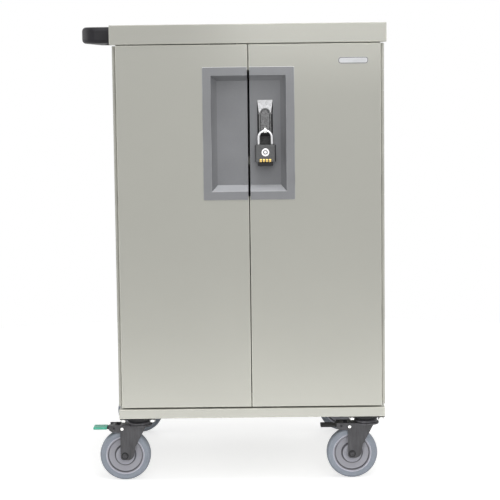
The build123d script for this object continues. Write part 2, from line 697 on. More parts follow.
def latch_housing():
    """Raised, bevelled housing on the pocket floor with a channel for the lever."""
    middle_z = HOUSING_TOP_Z - HOUSING_HEIGHT / 2
    foot = Plane((LATCH_X, POCKET_FLOOR_Y, middle_z), (1, 0, 0), (0, -1, 0))
    crest_drop = (HOUSING_TOP_BEVEL - HOUSING_SIDE_BEVEL) / 2
    crest = Plane((LATCH_X, POCKET_FLOOR_Y - HOUSING_RISE, middle_z - crest_drop), (1, 0, 0), (0, -1, 0))
    crest_height = HOUSING_HEIGHT - HOUSING_TOP_BEVEL - HOUSING_SIDE_BEVEL
    foot_outline = foot * Rectangle(HOUSING_WIDTH, HOUSING_HEIGHT)
    crest_outline = crest * Rectangle(HOUSING_WIDTH - 2 * HOUSING_SIDE_BEVEL, crest_height)
    housing = loft([foot_outline, crest_outline])
    channel_floor = POCKET_FLOOR_Y - HOUSING_FLOOR
    channel_width = LEVER_WIDTH + 2 * LEVER_CLEARANCE
    channel_bottom = middle_z - HOUSING_HEIGHT / 2 + 3 * HOUSING_SIDE_BEVEL
    front_y = POCKET_FLOOR_Y - HOUSING_RISE - CUT_OVERSHOOT
    channel_z = (channel_bottom, LEVER_PIVOT_Z)
    housing -= block(span(LATCH_X, channel_width), (front_y, channel_floor), channel_z)
    housing -= rod_y(LATCH_X, (front_y, channel_floor), LEVER_PIVOT_Z, channel_width / 2)
    floor_y = inset((channel_floor, POCKET_FLOOR_Y), -CUT_OVERSHOOT)
    housing -= block(span(LATCH_X, channel_width), floor_y, lever_window_z())
    bore = LEVER_PIN_RADIUS + LEVER_PIN_CLEARANCE
    return housing - rod_x(span(LATCH_X, HOUSING_WIDTH), LEVER_PIVOT_Y, LEVER_PIVOT_Z, bore)


def latch_pivot_pin():
    """Cross pin that the lever lifts on."""
    length = LEVER_WIDTH + 2 * LEVER_CLEARANCE + HOUSING_SIDE_BEVEL
    return rod_x(span(LATCH_X, length), LEVER_PIVOT_Y, LEVER_PIVOT_Z, LEVER_PIN_RADIUS)


def latch_lever():
    """Lift lever with a round heel, an eye for the padlock and a tail that works the upper rod."""
    back = Plane((LATCH_X, LEVER_BACK_Y, LEVER_PIVOT_Z), (1, 0, 0), (0, -1, 0))
    shank_length = LEVER_LENGTH - LEVER_WIDTH / 2
    shank = Rectangle(LEVER_WIDTH, shank_length, align=(Align.CENTER, Align.MAX))
    lever = extrude(back * (Circle(LEVER_WIDTH / 2) + shank), LEVER_THICKNESS)
    lever = fillet(lever.faces().sort_by(Axis.Y)[0].outer_wire().edges(), LEVER_EDGE)
    side = Plane((LATCH_X - LUG_THICKNESS / 2, 0, 0), (0, 1, 0), (1, 0, 0))
    web_length = LEVER_FRONT_Y + LEVER_THICKNESS / 2 - LUG_Y
    web = Rectangle(web_length, 2 * LUG_RADIUS, align=(Align.MIN, Align.CENTER))
    lug = Pos(LUG_Y, LUG_Z) * (Circle(LUG_RADIUS) + web)
    lever += extrude(side * lug, LUG_THICKNESS)
    lever -= rod_x(span(LATCH_X, LEVER_WIDTH), LUG_Y, LUG_Z, LUG_HOLE_RADIUS)
    tail_side = Plane((LATCH_X - TAIL_WIDTH / 2, 0, 0), (0, 1, 0), (1, 0, 0))
    bar = Rectangle(ROD_Y - LEVER_BACK_Y, TAIL_BAR, align=(Align.MAX, Align.CENTER))
    tail = Pos(ROD_Y, LEVER_PIVOT_Z) * (Circle(TAIL_TIP_RADIUS) + bar)
    lever += extrude(tail_side * tail, TAIL_WIDTH)
    bore = LEVER_PIN_RADIUS + LEVER_PIN_CLEARANCE
    return lever - rod_x(span(LATCH_X, HOUSING_WIDTH), LEVER_PIVOT_Y, LEVER_PIVOT_Z, bore)


def rod_eye(x, inner_x):
    """Flat rod end with a level slot in which a rocker pin slides."""
    reach = abs(x - inner_x)
    slot_half = ROCKER_PIN_RADIUS + ROCKER_SLOT_PLAY
    middle = (x + inner_x) / 2
    height = 2 * slot_half + 2 * ROD_RADIUS
    slot = reach + 2 * slot_half
    eye = block(span(middle, slot + 2 * ROD_RADIUS), span(ROD_Y, 2 * ROD_RADIUS), span(ROCKER_Z, height))
    return eye - block(span(middle, slot), span(ROD_Y, 4 * ROD_RADIUS), span(ROCKER_Z, 2 * slot_half))


def rocker_pin_shift():
    """How far a rocker pin moves sideways as the rocker turns."""
    return TAIL_RADIUS * (1 - cos(radians(LEVER_LIFT)))


def latch_rod_upper():
    """Locking rod from the rocker up to the header rail, with a yoke round the lever's tail."""
    eye = rod_eye(LATCH_X, LATCH_X + rocker_pin_shift())
    eye_top = eye.bounding_box().max.Z
    yoke_z = span(LEVER_PIVOT_Z, YOKE_HEIGHT)
    yoke = block(span(LATCH_X, YOKE_WIDTH), span(ROD_Y, 2 * ROD_RADIUS), yoke_z)
    window = 2 * (TAIL_TIP_RADIUS + YOKE_PLAY)
    window_x = span(LATCH_X, TAIL_WIDTH + 2 * YOKE_PLAY)
    yoke -= block(window_x, span(ROD_Y, 4 * ROD_RADIUS), span(LEVER_PIVOT_Z, window))
    lower = rod_z(LATCH_X, ROD_Y, (eye_top, yoke_z[0]), ROD_RADIUS)
    upper = rod_z(LATCH_X, ROD_Y, (yoke_z[1], UPPER_ROD_TIP_Z), ROD_RADIUS)
    upper = chamfer(upper.edges().group_by(Axis.Z)[-1], ROD_TIP_CHAMFER)
    return eye + lower + yoke + upper


def latch_rod_lower():
    """Locking rod from the rocker down to the base pan's lip."""
    eye = rod_eye(LOWER_ROD_X, LOWER_ROD_X - rocker_pin_shift())
    rod = rod_z(LOWER_ROD_X, ROD_Y, (LOWER_ROD_TIP_Z, eye.bounding_box().min.Z), ROD_RADIUS)
    return eye + chamfer(rod.edges().group_by(Axis.Z)[0], ROD_TIP_CHAMFER)


def latch_rocker():
    """Flat rocker behind the pocket that makes the two rods move opposite ways."""
    back = POCKET_BACK_Y + ROCKER_CLEARANCE
    face = Plane((ROCKER_X, back + ROCKER_THICKNESS, ROCKER_Z), (1, 0, 0), (0, -1, 0))
    outline = SlotCenterToCenter(2 * TAIL_RADIUS, ROCKER_HEIGHT)
    rocker = extrude(face * outline, ROCKER_THICKNESS)
    pin_y = (back + ROCKER_THICKNESS, ROD_Y + ROD_RADIUS)
    for side in (-1, 1):
        rocker += rod_y(ROCKER_X + side * TAIL_RADIUS, pin_y, ROCKER_Z, ROCKER_PIN_RADIUS)
    bore = ROCKER_STUD_RADIUS + ROCKER_STUD_CLEARANCE
    return rocker - rod_y(ROCKER_X, (POCKET_BACK_Y, ROD_Y), ROCKER_Z, bore)


def rod_guide(x, z):
    """Bracket on the back of the door face that a rod slides through."""
    web = block(span(x, GUIDE_FOOT), (FACE_Y + SHEET, ROD_Y + 2 * ROD_RADIUS), span(z, GUIDE_THICKNESS))
    foot_y = (FACE_Y + SHEET, FACE_Y + SHEET + GUIDE_THICKNESS)
    foot = block(span(x, GUIDE_FOOT), foot_y, span(z, GUIDE_FOOT))
    bracket = fillet((web + foot).edges().filter_by(Axis.Z).group_by(Axis.Y)[-1], ROD_RADIUS)
    return bracket - rod_z(x, ROD_Y, span(z, 2 * GUIDE_FOOT), ROD_RADIUS + ROD_HOLE_CLEARANCE)


def rod_guides():
    """Guides near the far ends of the two rods."""
    upper = rod_guide(LATCH_X, DOOR_SPAN_Z[1] - GUIDE_INSET)
    lower = rod_guide(LOWER_ROD_X, DOOR_SPAN_Z[0] + GUIDE_INSET)
    return Compound(children=[upper, lower])


def latch_keepers():
    """Strike plates under the header rail and on the base lip, in line with the rods."""
    plate = Rectangle(STRIKE_WIDTH, 4 * ROD_RADIUS + STRIKE_HOLE_CLEARANCE) - Circle(strike_hole())
    keeper = extrude(plate, SHEET)
    upper = Pos(LATCH_X, ROD_Y, RAIL_Z - SHEET) * keeper
    lower = Pos(LOWER_ROD_X, ROD_Y, DECK_Z) * keeper
    return Compound(children=[upper, lower])


def door_catch():
    """Magnetic catch hanging below Z = 0 with its mounting ears flush at the top."""
    face_y = DOOR_BACK_Y + CATCH_GAP
    body_z = (-CATCH_HEIGHT - 2 * SHEET, -2 * SHEET)
    body = block(span(CATCH_X, CATCH_WIDTH), (face_y, face_y + CATCH_DEPTH), body_z)
    body = fillet(body.edges().filter_by(Axis.Y), SHEET)
    ears = block(
        span(CATCH_X, CATCH_WIDTH + 2 * CATCH_EAR),
        (BODY_FRONT_Y + SHEET, face_y + CATCH_DEPTH),
        (-2 * SHEET, 0),
    )
    return body + ears


def door_catches():
    """Magnetic catches that hold the left door, under the header rail and on the base lip."""
    upper = Pos(0, 0, RAIL_Z) * door_catch()
    lower = Pos(0, 0, DECK_Z) * mirror(door_catch(), about=Plane.XY)
    return Compound(children=[upper, lower])


# Padlock


def padlock_shackle():
    """Bent round bar with a long heel and a short toe."""
    arch_z = SHACKLE_Z - SHACKLE_SPREAD / 2
    foot = Plane((LATCH_X + SHACKLE_SPREAD / 2, LUG_Y, arch_z), (1, 0, 0), (0, 0, 1))
    arch = revolve(foot * Circle(SHACKLE_RADIUS), Axis((LATCH_X, LUG_Y, arch_z), (0, -1, 0)), 180)
    heel_z = (PADLOCK_TOP_Z - SHACKLE_HEEL, arch_z)
    toe_z = (PADLOCK_TOP_Z - SHACKLE_TOE, arch_z)
    heel = rod_z(LATCH_X - SHACKLE_SPREAD / 2, LUG_Y, heel_z, SHACKLE_RADIUS)
    toe = rod_z(LATCH_X + SHACKLE_SPREAD / 2, LUG_Y, toe_z, SHACKLE_RADIUS)
    return arch + heel + toe


def dial_row_x():
    """Span of the row of dials."""
    return span(LATCH_X, DIAL_COUNT * DIAL_PITCH)


def dial_middle(index):
    """Middle of a dial along the row."""
    return dial_row_x()[0] + (index + 0.5) * DIAL_PITCH


def dial_room_x(index):
    """Span of the space a dial turns in."""
    return span(dial_middle(index), DIAL_WIDTH + 2 * DIAL_SIDE_CLEARANCE)


def dial_chamber(index):
    """Round space that a dial turns in."""
    return rod_x(dial_room_x(index), DIAL_Y, DIAL_Z, DIAL_RADIUS + DIAL_CLEARANCE)


def padlock_body():
    """Padlock case with shackle bores, a chamber for each dial and the pin they turn on."""
    front_y = LUG_Y - PADLOCK_THICKNESS / 2
    x = span(LATCH_X, PADLOCK_WIDTH)
    case = block(x, span(LUG_Y, PADLOCK_THICKNESS), (PADLOCK_BOTTOM_Z, PADLOCK_TOP_Z))
    case = fillet(case.edges().filter_by(Axis.Z), PADLOCK_CORNER)
    case = fillet(case.faces().sort_by(Axis.Z)[-1].edges(), PADLOCK_EDGE)
    bore = SHACKLE_RADIUS + SHACKLE_BORE_CLEARANCE
    for side, depth in ((-1, SHACKLE_HEEL), (1, SHACKLE_TOE)):
        bore_z = inset((PADLOCK_TOP_Z - depth, PADLOCK_TOP_Z), -CUT_OVERSHOOT)
        case -= rod_z(LATCH_X + side * SHACKLE_SPREAD / 2, LUG_Y, bore_z, bore)
    window_z = (PADLOCK_BOTTOM_Z, DIAL_Z + DIAL_WINDOW / 2)
    for index in range(DIAL_COUNT):
        case -= dial_chamber(index)
        case -= block(dial_room_x(index), (front_y - CUT_OVERSHOOT, DIAL_Y), window_z)
    return case + rod_x(dial_row_x(), DIAL_Y, DIAL_Z, DIAL_PIN_RADIUS)


def padlock_bumper():
    """Cover under the case, hollowed where the dials dip into it."""
    top = PADLOCK_BOTTOM_Z
    body = block(span(LATCH_X, BUMPER_WIDTH), span(LUG_Y, BUMPER_THICKNESS), (top - BUMPER_HEIGHT, top))
    body = fillet(body.edges().filter_by(Axis.Z), PADLOCK_CORNER / 2)
    body = fillet(body.faces().sort_by(Axis.Z)[0].edges(), PADLOCK_EDGE)
    for index in range(DIAL_COUNT):
        body -= dial_chamber(index)
    return body


def padlock_dial(index):
    """Ten-sided number wheel."""
    face = Plane((dial_middle(index) - DIAL_WIDTH / 2, DIAL_Y, DIAL_Z), (0, 1, 0), (1, 0, 0))
    ring = RegularPolygon(DIAL_RADIUS, DIAL_FACES) - Circle(DIAL_PIN_RADIUS + DIAL_PIN_CLEARANCE)
    return extrude(face * ring, DIAL_WIDTH)


# Rear door


def rear_door():
    """Full-width rear door pan with pressed louvres and a hole for the key lock."""
    y = (-DOOR_BACK_Y, -FACE_Y)
    mouth_y = (-DOOR_BACK_Y - SHEET, -DOOR_BACK_Y + 2 * SHEET)
    mouth_x = (-DOOR_EDGE_X + DOOR_HINGE_LIP, DOOR_EDGE_X - DOOR_LIP)
    x = span(0, 2 * DOOR_EDGE_X)
    door = folded_pan(x, y, DOOR_SPAN_Z, (mouth_x, mouth_y, inset(DOOR_SPAN_Z, DOOR_LIP)), all_edges)
    profile = make_face(
        Polyline((0, 0), (LOUVRE_PROUD, 0), (LOUVRE_PROUD, SHEET), (0, LOUVRE_HOOD), close=True)
    )
    hood = extrude(Plane.YZ * profile, LOUVRE_LENGTH / 2, both=True)
    for bank_z in inset(DOOR_SPAN_Z, LOUVRE_BANK_INSET + LOUVRE_ROWS * LOUVRE_PITCH / 2):
        for row in range(LOUVRE_ROWS):
            z = bank_z + (row - (LOUVRE_ROWS - 1) / 2) * LOUVRE_PITCH
            for louvre_x in (-LOUVRE_COLUMN_X, LOUVRE_COLUMN_X):
                slot_y = (-FACE_Y - 2 * SHEET, -FACE_Y + SHEET)
                door -= block(span(louvre_x, LOUVRE_LENGTH), slot_y, (z - LOUVRE_SLOT, z))
                door += Pos(louvre_x, -FACE_Y, z) * hood
    lock_x, lock_z = rear_lock_centre()
    hole = LOCK_RADIUS + LOCK_CLEARANCE
    return door - rod_y(lock_x, (-FACE_Y - 2 * SHEET, -FACE_Y + SHEET), lock_z, hole)


def rear_lock_centre():
    """(x, z) of the rear key lock, near the door's free edge."""
    return (BAY_HALF_X - LOCK_RADIUS - LOCK_FLANGE_GAP, (DOOR_SPAN_Z[0] + DOOR_SPAN_Z[1]) / 2)


def rear_lock():
    """Key lock barrel with a keyway and a cam tongue that hangs down when unlocked."""
    x, z = rear_lock_centre()
    face_y = -FACE_Y + LOCK_FACE_GAP
    cam_back = -BODY_FRONT_Y - SHEET - LOCK_CAM_CLEARANCE
    cam_y = (cam_back - LOCK_CAM_THICKNESS, cam_back)
    lock = rod_y(x, (cam_y[0], face_y), z, LOCK_RADIUS)
    lock += rod_y(x, (face_y, -FACE_Y + LOCK_PROUD), z, LOCK_FACE_RADIUS)
    lock += block(span(x, LOCK_CAM_WIDTH), cam_y, (z - LOCK_CAM_LENGTH, z))
    keyway = block(span(x, KEYWAY_WIDTH), (-FACE_Y, -FACE_Y + 2 * LOCK_PROUD), span(z, LOCK_RADIUS))
    return lock - keyway


# Shelves and power


def shelf_tops():
    """Height of each shelf's upper face."""
    return [BAY_FLOOR_Z + level * BAY_PITCH_Z + SHELF_LIP for level in range(SHELF_LEVELS)]


def divider_places():
    """X of each divider across a shelf."""
    return [-BAY_HALF_X + index * BAY_PITCH_X for index in range(1, BAYS_PER_SHELF)]


def divider_tab_places():
    """Middle of each of a divider's two tabs along Y."""
    return inset((SHELF_FRONT_Y + DIVIDER_SETBACK, PARTITION_Y), DIVIDER_TAB_INSET)


def shelf(top):
    """Shelf folded down along its four edges, slotted for the divider tabs."""
    x = span(0, 2 * SIDE_INNER_X)
    y = (SHELF_FRONT_Y, PARTITION_Y)
    z = (top - SHELF_LIP, top)
    mouth = (inset(x, SHEET), inset(y, SHEET), (z[0] - SHEET, z[0] + 2 * SHEET))
    tray = folded_pan(x, y, z, mouth)
    slots = []
    for divider_x in divider_places():
        for tab_y in divider_tab_places():
            slot_x = span(divider_x, DIVIDER_THICKNESS + 2 * DIVIDER_CLEARANCE)
            slot_y = span(tab_y, DIVIDER_TAB_LENGTH + 2 * DIVIDER_CLEARANCE)
            slots.append(block(slot_x, slot_y, (top - 2 * SHEET, top + SHEET)))
    return tray - slots


def shelves():
    """The three slotted shelves."""
    return Compound(children=[shelf(top) for top in shelf_tops()])


def bay_divider():
    """Upright divider with a swept-back nose and two tabs below, standing on Z = 0."""
    y = (SHELF_FRONT_Y + DIVIDER_SETBACK, PARTITION_Y - DIVIDER_CLEARANCE)
    outline = Pos((y[0] + y[1]) / 2, DIVIDER_HEIGHT / 2) * Rectangle(y[1] - y[0], DIVIDER_HEIGHT)
    nose = outline.vertices().group_by(Axis.X)[0].sort_by(Axis.Y)[-1]
    outline = fillet(nose, DIVIDER_NOSE_RADIUS)
    for tab_y in divider_tab_places():
        outline += Pos(tab_y, 0) * Rectangle(DIVIDER_TAB_LENGTH, 2 * DIVIDER_TAB_DROP)
    return extrude(Plane.YZ * outline, DIVIDER_THICKNESS / 2, both=True)


def bay_dividers():
    """Dividers of all shelves."""
    places = [Pos(x, 0, top) for top in shelf_tops() for x in divider_places()]
    return copies(bay_divider(), places)


def cable_slot_span(top):
    """Height span of the cable slot above one shelf, just under the bay's ceiling."""
    ceiling = top - SHELF_LIP + BAY_PITCH_Z
    return (ceiling - CABLE_SLOT_DROP - CABLE_SLOT_HEIGHT, ceiling - CABLE_SLOT_DROP)


def bay_back_panel():
    """Partition behind the device bays: two uprights, and cross panels with a long cable slot a shelf."""
    y = (PARTITION_Y, PARTITION_Y + SHEET)
    z = (BAY_FLOOR_Z, TOP_Z - 2 * SHEET)
    slot_half_x = SIDE_INNER_X - CABLE_SLOT_INSET
    slots = [cable_slot_span(top) for top in shelf_tops()]
    lower_edges = [z[0]] + [slot[1] for slot in slots]
    upper_edges = [slot[0] for slot in slots] + [z[1]]
    uprights = [block(between(side * slot_half_x, side * SIDE_INNER_X), y, z) for side in (-1, 1)]
    panels = [block(span(0, 2 * slot_half_x), y, rise) for rise in zip(lower_edges, upper_edges)]
    return Compound(children=uprights + panels)


def power_strip():
    """Outlet strip with a row of recessed outlet faces, its top edge at Z = 0."""
    x = span(0, 2 * (SIDE_INNER_X - STRIP_INSET))
    front_y = PARTITION_Y + SHEET
    y = (front_y, front_y + STRIP_DEPTH)
    strip = block(x, y, (-STRIP_HEIGHT, 0))
    strip = fillet(strip.edges().filter_by(Axis.X).group_by(Axis.Y)[-1], STRIP_EDGE)
    outlet = extrude(RectangleRounded(OUTLET_WIDTH, OUTLET_HEIGHT, OUTLET_CORNER), 2 * OUTLET_DEPTH)
    pitch = (x[1] - x[0]) / BAYS_PER_SHELF
    recesses = []
    for index in range(BAYS_PER_SHELF):
        place = Pos(x[0] + (index + 0.5) * pitch, y[1] + OUTLET_DEPTH, -STRIP_HEIGHT / 2)
        recesses.append(place * Rot(90, 0, 0) * outlet)
    return strip - recesses


def power_strips():
    """One outlet strip below each cable slot, on the back of the partition."""
    places = [Pos(0, 0, cable_slot_span(top)[0] - STRIP_DROP) for top in shelf_tops()]
    return copies(power_strip(), places)


def inlet_centre():
    """(y, z) of the power inlet on the right side panel, low down at the rear."""
    return (-BODY_FRONT_Y - INLET_REAR_INSET, DECK_Z + INLET_RISE)


def power_inlet():
    """Mains inlet with its three blades, and the frame of a rocker switch butted on top of it."""
    y, z = inlet_centre()
    flange_x = (SIDE_X, SIDE_X + INLET_FLANGE_THICKNESS)
    face = Plane((flange_x[0], y, z), (0, 1, 0), (1, 0, 0))
    flange = RectangleRounded(INLET_FLANGE_WIDTH, INLET_FLANGE_HEIGHT, INLET_CORNER)
    module = extrude(face * flange, INLET_FLANGE_THICKNESS)
    body_x = (SIDE_X - INLET_BODY_DEPTH, SIDE_X)
    module += block(body_x, span(y, INLET_BODY_WIDTH), span(z, INLET_BODY_HEIGHT))
    mouth = Plane((flange_x[1] - SOCKET_DEPTH, y, z - SOCKET_DROP), (0, 1, 0), (1, 0, 0))
    outline = Rectangle(SOCKET_WIDTH, SOCKET_HEIGHT)
    outline = chamfer(outline.vertices().group_by(Axis.Y)[0], SOCKET_CHAMFER)
    module -= extrude(mouth * outline, 2 * SOCKET_DEPTH)
    blade_x = (flange_x[1] - SOCKET_DEPTH, flange_x[1] - SOCKET_DEPTH + BLADE_LENGTH)
    blade_z = span(z - SOCKET_DROP, BLADE_WIDTH)
    blades = [block(blade_x, span(y + step * BLADE_PITCH, BLADE_THICKNESS), blade_z) for step in (-1, 0, 1)]
    well_y = span(y, ROCKER_SWITCH_WIDTH + 2 * ROCKER_SWITCH_CLEARANCE)
    well_z = span(z + ROCKER_SWITCH_RISE, ROCKER_SWITCH_HEIGHT + 2 * ROCKER_SWITCH_CLEARANCE)
    module -= block((flange_x[1] - ROCKER_SWITCH_DEPTH, flange_x[1] + CUT_OVERSHOOT), well_y, well_z)
    pivot_x, pivot_z = switch_pivot()
    pin = ROCKER_SWITCH_PIN_RADIUS + ROCKER_SWITCH_PIN_CLEARANCE
    pin_y = span(y, ROCKER_SWITCH_WIDTH + 2 * ROCKER_SWITCH_PIN_REACH + 2 * ROCKER_SWITCH_CLEARANCE)
    module -= rod_y(pivot_x, pin_y, pivot_z, pin)
    seam_z = (z - SOCKET_DROP + SOCKET_HEIGHT / 2 + well_z[0]) / 2
    halves = split(module, Plane.XY.offset(seam_z), keep=Keep.BOTH)
    return Compound(children=[*halves.solids(), *blades])


def switch_pivot():
    """(x, z) of the rocker switch's pin."""
    y, z = inlet_centre()
    return (SIDE_X + INLET_FLANGE_THICKNESS - ROCKER_SWITCH_DEPTH / 2, z + ROCKER_SWITCH_RISE)


def power_switch():
    """Rocker with a shallow ridge across its middle, tilted to its off position."""
    y, z = inlet_centre()
    pivot_x, pivot_z = switch_pivot()
    half = ROCKER_SWITCH_HEIGHT / 2 - ROCKER_SWITCH_CLEARANCE
    front = ROCKER_SWITCH_DEPTH / 2
    dip = half * sin(radians(ROCKER_SWITCH_TILT))
    tail = front - 2 * dip
    upper = ((-tail, half / 2), (front, half))
    lower = ((front, -half), (-tail, -half / 2))
    outline = Polyline(*upper, (front - dip, 0), *lower, close=True)
    profile = Plane((0, y, 0), (1, 0, 0), (0, -1, 0)) * make_face(outline)
    rocker = extrude(profile, ROCKER_SWITCH_WIDTH / 2, both=True)
    pin_y = span(y, ROCKER_SWITCH_WIDTH + 2 * ROCKER_SWITCH_PIN_REACH)
    rocker += rod_y(0, pin_y, 0, ROCKER_SWITCH_PIN_RADIUS)
    return Pos(pivot_x, 0, pivot_z) * Rot(0, ROCKER_SWITCH_TILT, 0) * rocker


# Casters, each set out about its own swivel axis


def caster_plate():
    """Top plate with its ball race and kingpin."""
    plate = extrude(RectangleRounded(PLATE_LENGTH, PLATE_WIDTH, PLATE_CORNER), PLATE_THICKNESS)
    plate = Pos(0, 0, CASTER_HEIGHT - PLATE_THICKNESS) * plate
    race = rod_z(0, 0, (RACE_BOTTOM_Z, CASTER_HEIGHT - PLATE_THICKNESS), RACE_RADIUS)
    race = chamfer(race.edges().group_by(Axis.Z)[0], RACE_HEIGHT / 3)
    head_top = CROWN_Z - SWIVEL_GAP
    pin = rod_z(0, 0, (head_top, RACE_BOTTOM_Z), KINGPIN_RADIUS)
    head = rod_z(0, 0, (head_top - KINGPIN_HEAD, head_top), KINGPIN_HEAD_RADIUS)
    plate += race + pin + chamfer(head.edges().group_by(Axis.Z)[0], KINGPIN_HEAD / 2)
    hole = PLATE_BOLT_RADIUS + BOLT_CLEARANCE
    plate_z = inset((CASTER_HEIGHT - PLATE_THICKNESS, CASTER_HEIGHT), -CUT_OVERSHOOT)
    for x, y in bolt_places():
        plate -= rod_z(x, y, plate_z, hole)
    return plate


def caster_plates():
    """Top plates of all four casters."""
    return copies(caster_plate(), [Pos(x, y) for x, y in caster_places().values()])


def caster_plate_bolts():
    """Hexagon bolts that clamp the caster plates to the base pan, each with its nut."""
    head_z = CASTER_HEIGHT - PLATE_THICKNESS - PLATE_BOLT_HEAD
    nut_z = BASE_Z + BASE_FLOOR
    bolt = Pos(0, 0, head_z) * extrude(hexagon(PLATE_BOLT_FLATS), PLATE_BOLT_HEAD)
    bolt += rod_z(0, 0, (head_z, nut_z + PLATE_BOLT_NUT), PLATE_BOLT_RADIUS)
    bolt += Pos(0, 0, nut_z) * extrude(hexagon(PLATE_BOLT_FLATS), PLATE_BOLT_NUT)
    places = [Pos(x + dx, y + dy) for x, y in caster_places().values() for dx, dy in bolt_places()]
    return copies(bolt, places)


def leg_profile(braked):
    """Side outline of a fork leg: upright leading edge, sloping trailing edge and any brake arm."""
    axle = -CASTER_TRAIL
    front = axle - LEG_FRONT
    foot_z = WHEEL_RADIUS - LEG_FOOT_DROP
    outline = make_face(
        Polyline(
            (front, CROWN_TOP_Z),
            (front, foot_z),
            (axle + LEG_HEEL, foot_z),
            (axle + LEG_HEEL, WHEEL_RADIUS + LEG_HEEL_RISE),
            (axle + LEG_BEND, WHEEL_RADIUS + LEG_BEND_RISE),
            (axle + LEG_TOP, CROWN_TOP_Z),
            close=True,
        )
    )
    outline = fillet(outline.vertices().group_by(Axis.Y)[0].sort_by(Axis.X)[0], LEG_TOE_ROUND)
    outline = fillet(outline.vertices().group_by(Axis.Y)[0].sort_by(Axis.X)[-1], LEG_HEEL_ROUND)
    if braked:
        arm_x = axle - BRAKE_ARM_REACH
        arm_z = CROWN_TOP_Z - BRAKE_ARM_DEPTH
        arm = make_face(
            Polyline(
                (front + LEG_THICKNESS, CROWN_TOP_Z),
                (arm_x, CROWN_TOP_Z),
                (arm_x, arm_z + BRAKE_ARM_DEPTH / 3),
                (arm_x + BRAKE_ARM_DEPTH / 2, arm_z),
                (front + LEG_THICKNESS, arm_z),
                close=True,
            )
        )
        outline += arm
    return outline - Pos(axle - LEG_HOLE_OFFSET, CROWN_TOP_Z - LEG_HOLE_DROP) * Circle(LEG_HOLE_RADIUS)


def caster_fork(braked):
    """Pressed fork: round crown on the race and two legs down to the axle, with any brake arms."""
    leg = extrude(Plane.XZ.offset(LEG_Y) * leg_profile(braked), LEG_THICKNESS)
    front = -CASTER_TRAIL - LEG_FRONT
    back = -CASTER_TRAIL + LEG_TOP
    bridge = Pos((front + back) / 2, 0) * Rectangle(back - front, 2 * (LEG_Y + LEG_THICKNESS))
    crown = Pos(0, 0, CROWN_Z) * extrude(bridge + Circle(CROWN_RADIUS), CROWN_THICKNESS)
    seat = rod_z(0, 0, (CROWN_TOP_Z, CROWN_TOP_Z + SEAT_HEIGHT), SEAT_RADIUS)
    seat = chamfer(seat.edges().group_by(Axis.Z)[-1], SEAT_HEIGHT / 3)
    fork = crown + seat + leg + mirror(leg, about=Plane.XZ)
    fork -= rod_z(0, 0, (CROWN_Z - CUT_OVERSHOOT, RACE_BOTTOM_Z), KINGPIN_RADIUS + KINGPIN_CLEARANCE)
    across = span(0, 4 * LEG_Y)
    fork -= rod_y(-CASTER_TRAIL, across, WHEEL_RADIUS, AXLE_RADIUS + BOLT_CLEARANCE)
    if braked:
        fork -= rod_y(PEDAL_PIVOT_X, across, PEDAL_PIVOT_Z, PEDAL_PIN_RADIUS + PEDAL_PIN_CLEARANCE)
    return fork


def caster_axle():
    """Axle bolt with its nut, the sleeve that the hub turns on and the rivet that ties the fork legs."""
    outside = LEG_Y + LEG_THICKNESS
    seat = -outside - AXLE_WASHER
    bolt = rod_y(-CASTER_TRAIL, (seat, outside + AXLE_NUT), WHEEL_RADIUS, AXLE_RADIUS)
    bolt += rod_y(-CASTER_TRAIL, (seat, -outside), WHEEL_RADIUS, AXLE_WASHER_RADIUS)
    head = rod_y(-CASTER_TRAIL, (seat - AXLE_HEAD, seat), WHEEL_RADIUS, AXLE_HEAD_RADIUS)
    bolt += chamfer(head.edges().group_by(Axis.Y)[0], AXLE_HEAD / 3)
    nut = Plane((-CASTER_TRAIL, outside + AXLE_NUT, WHEEL_RADIUS), (1, 0, 0), (0, -1, 0))
    bolt += extrude(nut * hexagon(AXLE_NUT_FLATS), AXLE_NUT)
    bore = AXLE_RADIUS + BOLT_CLEARANCE
    sleeve = rod_y(-CASTER_TRAIL, (-LEG_Y, LEG_Y), WHEEL_RADIUS, AXLE_SLEEVE_RADIUS)
    sleeve -= rod_y(-CASTER_TRAIL, inset((-LEG_Y, LEG_Y), -CUT_OVERSHOOT), WHEEL_RADIUS, bore)
    tie_y = inset((-outside, outside), -TIE_HEAD)
    tie = rod_y(-CASTER_TRAIL - LEG_HOLE_OFFSET, tie_y, CROWN_TOP_Z - LEG_HOLE_DROP, LEG_HOLE_RADIUS)
    tie = chamfer(tie.edges().filter_by(GeomType.CIRCLE), TIE_HEAD / 2)
    return Compound(children=[bolt, sleeve, tie])


def turned_about_axle(outline):
    """Solid of revolution on the wheel's axle from half of its section, mirrored about the mid-plane."""
    section = outline + mirror(outline, about=Plane.XZ)
    return Pos(-CASTER_TRAIL, 0, WHEEL_RADIUS) * revolve(section, Axis.Y)


def wheel_core():
    """Moulded wheel centre: bored hub, dished web and rim."""
    half = WHEEL_WIDTH / 2
    bore = AXLE_SLEEVE_RADIUS + AXLE_CLEARANCE
    hub_y = half + HUB_PROUD
    web_y = half - WEB_INSET
    rim_inner = TYRE_BORE - RIM_LIP
    outline = make_face(
        Polyline(
            (bore, 0),
            (bore, hub_y),
            (HUB_RADIUS, hub_y),
            (HUB_RADIUS + HUB_FLARE, web_y - WEB_DISH),
            (rim_inner, web_y),
            (rim_inner, half - RIM_INSET),
            (TYRE_BORE, half - RIM_INSET),
            (TYRE_BORE, 0),
            close=True,
        )
    )
    return turned_about_axle(outline)


